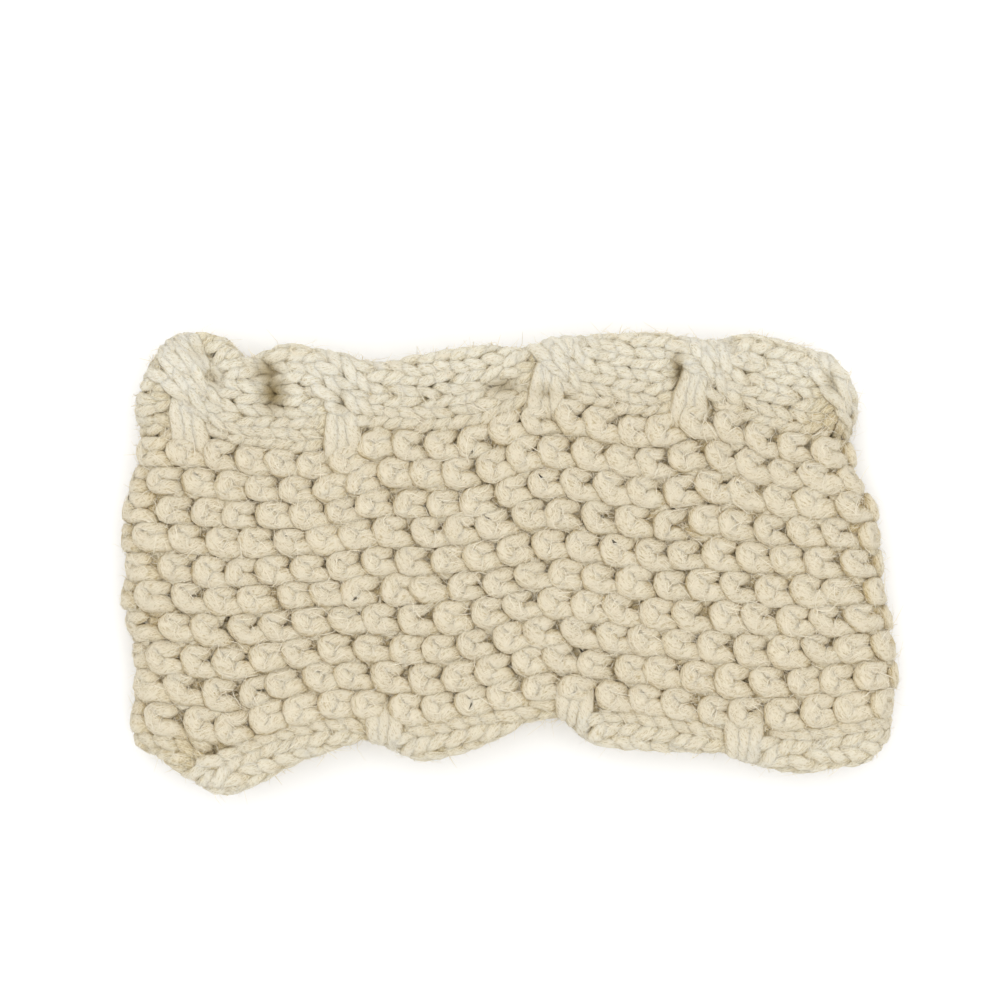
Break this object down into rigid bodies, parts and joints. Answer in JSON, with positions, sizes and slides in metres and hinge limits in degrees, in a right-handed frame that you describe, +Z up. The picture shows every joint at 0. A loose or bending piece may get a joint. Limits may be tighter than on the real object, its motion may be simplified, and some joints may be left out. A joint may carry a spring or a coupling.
{
  "type": "knitted ear warmer headband",
  "caption": "Chunky knitted headband lying flat: a closed band of moss stitch between two rolled cable borders, open inside for the head.",
  "frame": {"origin": "middle of the foot, under the centre of the band's outline", "axes": "+X along the band towards the picture's right, +Y across it towards the upper border, +Z up from the floor it lies on"},
  "size_m": [0.2402, 0.1436, 0.0248],
  "materials": {
    "cream_wool": "matte knitted wool"
  },
  "bodies": {
    "root": {"moss_field": "cream_wool", "upper_cable_border": "cream_wool", "lower_cable_border": "cream_wool"}
  },
  "joints": []
}
